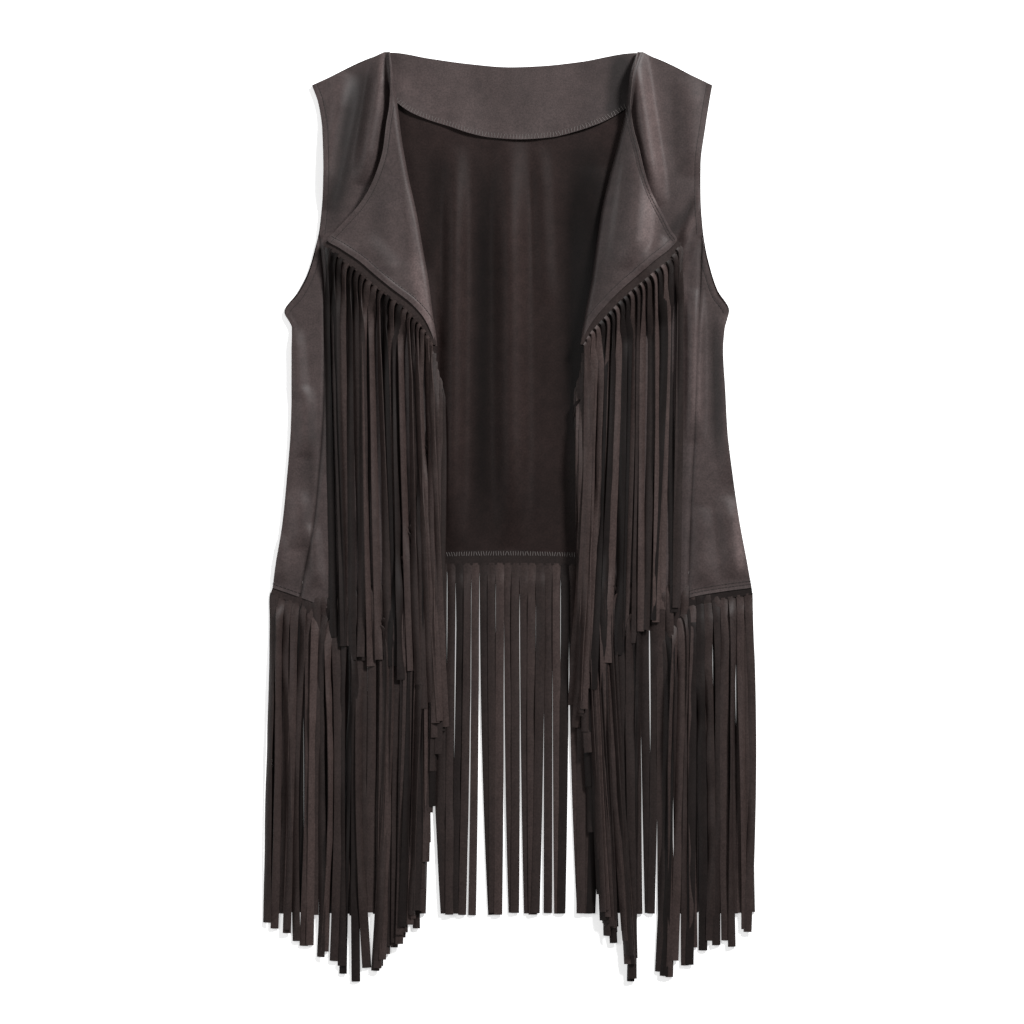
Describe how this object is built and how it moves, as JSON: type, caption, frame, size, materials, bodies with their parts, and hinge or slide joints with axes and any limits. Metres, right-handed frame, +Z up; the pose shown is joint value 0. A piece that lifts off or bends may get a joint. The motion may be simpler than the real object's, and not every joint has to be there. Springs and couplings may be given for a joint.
{
  "type": "western vest",
  "caption": "Long sleeveless open-front faux suede vest with folded-out lapels and long cut fringe on lapels, front edges and hems, laid flat on its back.",
  "frame": {"origin": "middle of the vest on the surface that it lies on", "axes": "+X to the viewer's right, +Y from the hem to the neck, +Z up from the surface, out of the front"},
  "size_m": [0.4532, 0.8727, 0.0172],
  "materials": {
    "suede": "brushed faux suede, right side, soft sheen",
    "suede_inside": "faux suede, wrong side, flat and dark",
    "fringe_suede": "cut faux suede strands, matt"
  },
  "bodies": {
    "root": {"back": "suede_inside", "neck_facing": "suede", "front_left": "suede", "front_right": "suede", "side_left": "suede", "side_right": "suede", "fringe_back": "fringe_suede", "fringe_hem_left": "fringe_suede", "fringe_hem_right": "fringe_suede", "fringe_edge_left": "fringe_suede", "fringe_edge_right": "fringe_suede", "fringe_lapel_left": "fringe_suede", "fringe_lapel_right": "fringe_suede"}
  },
  "joints": []
}
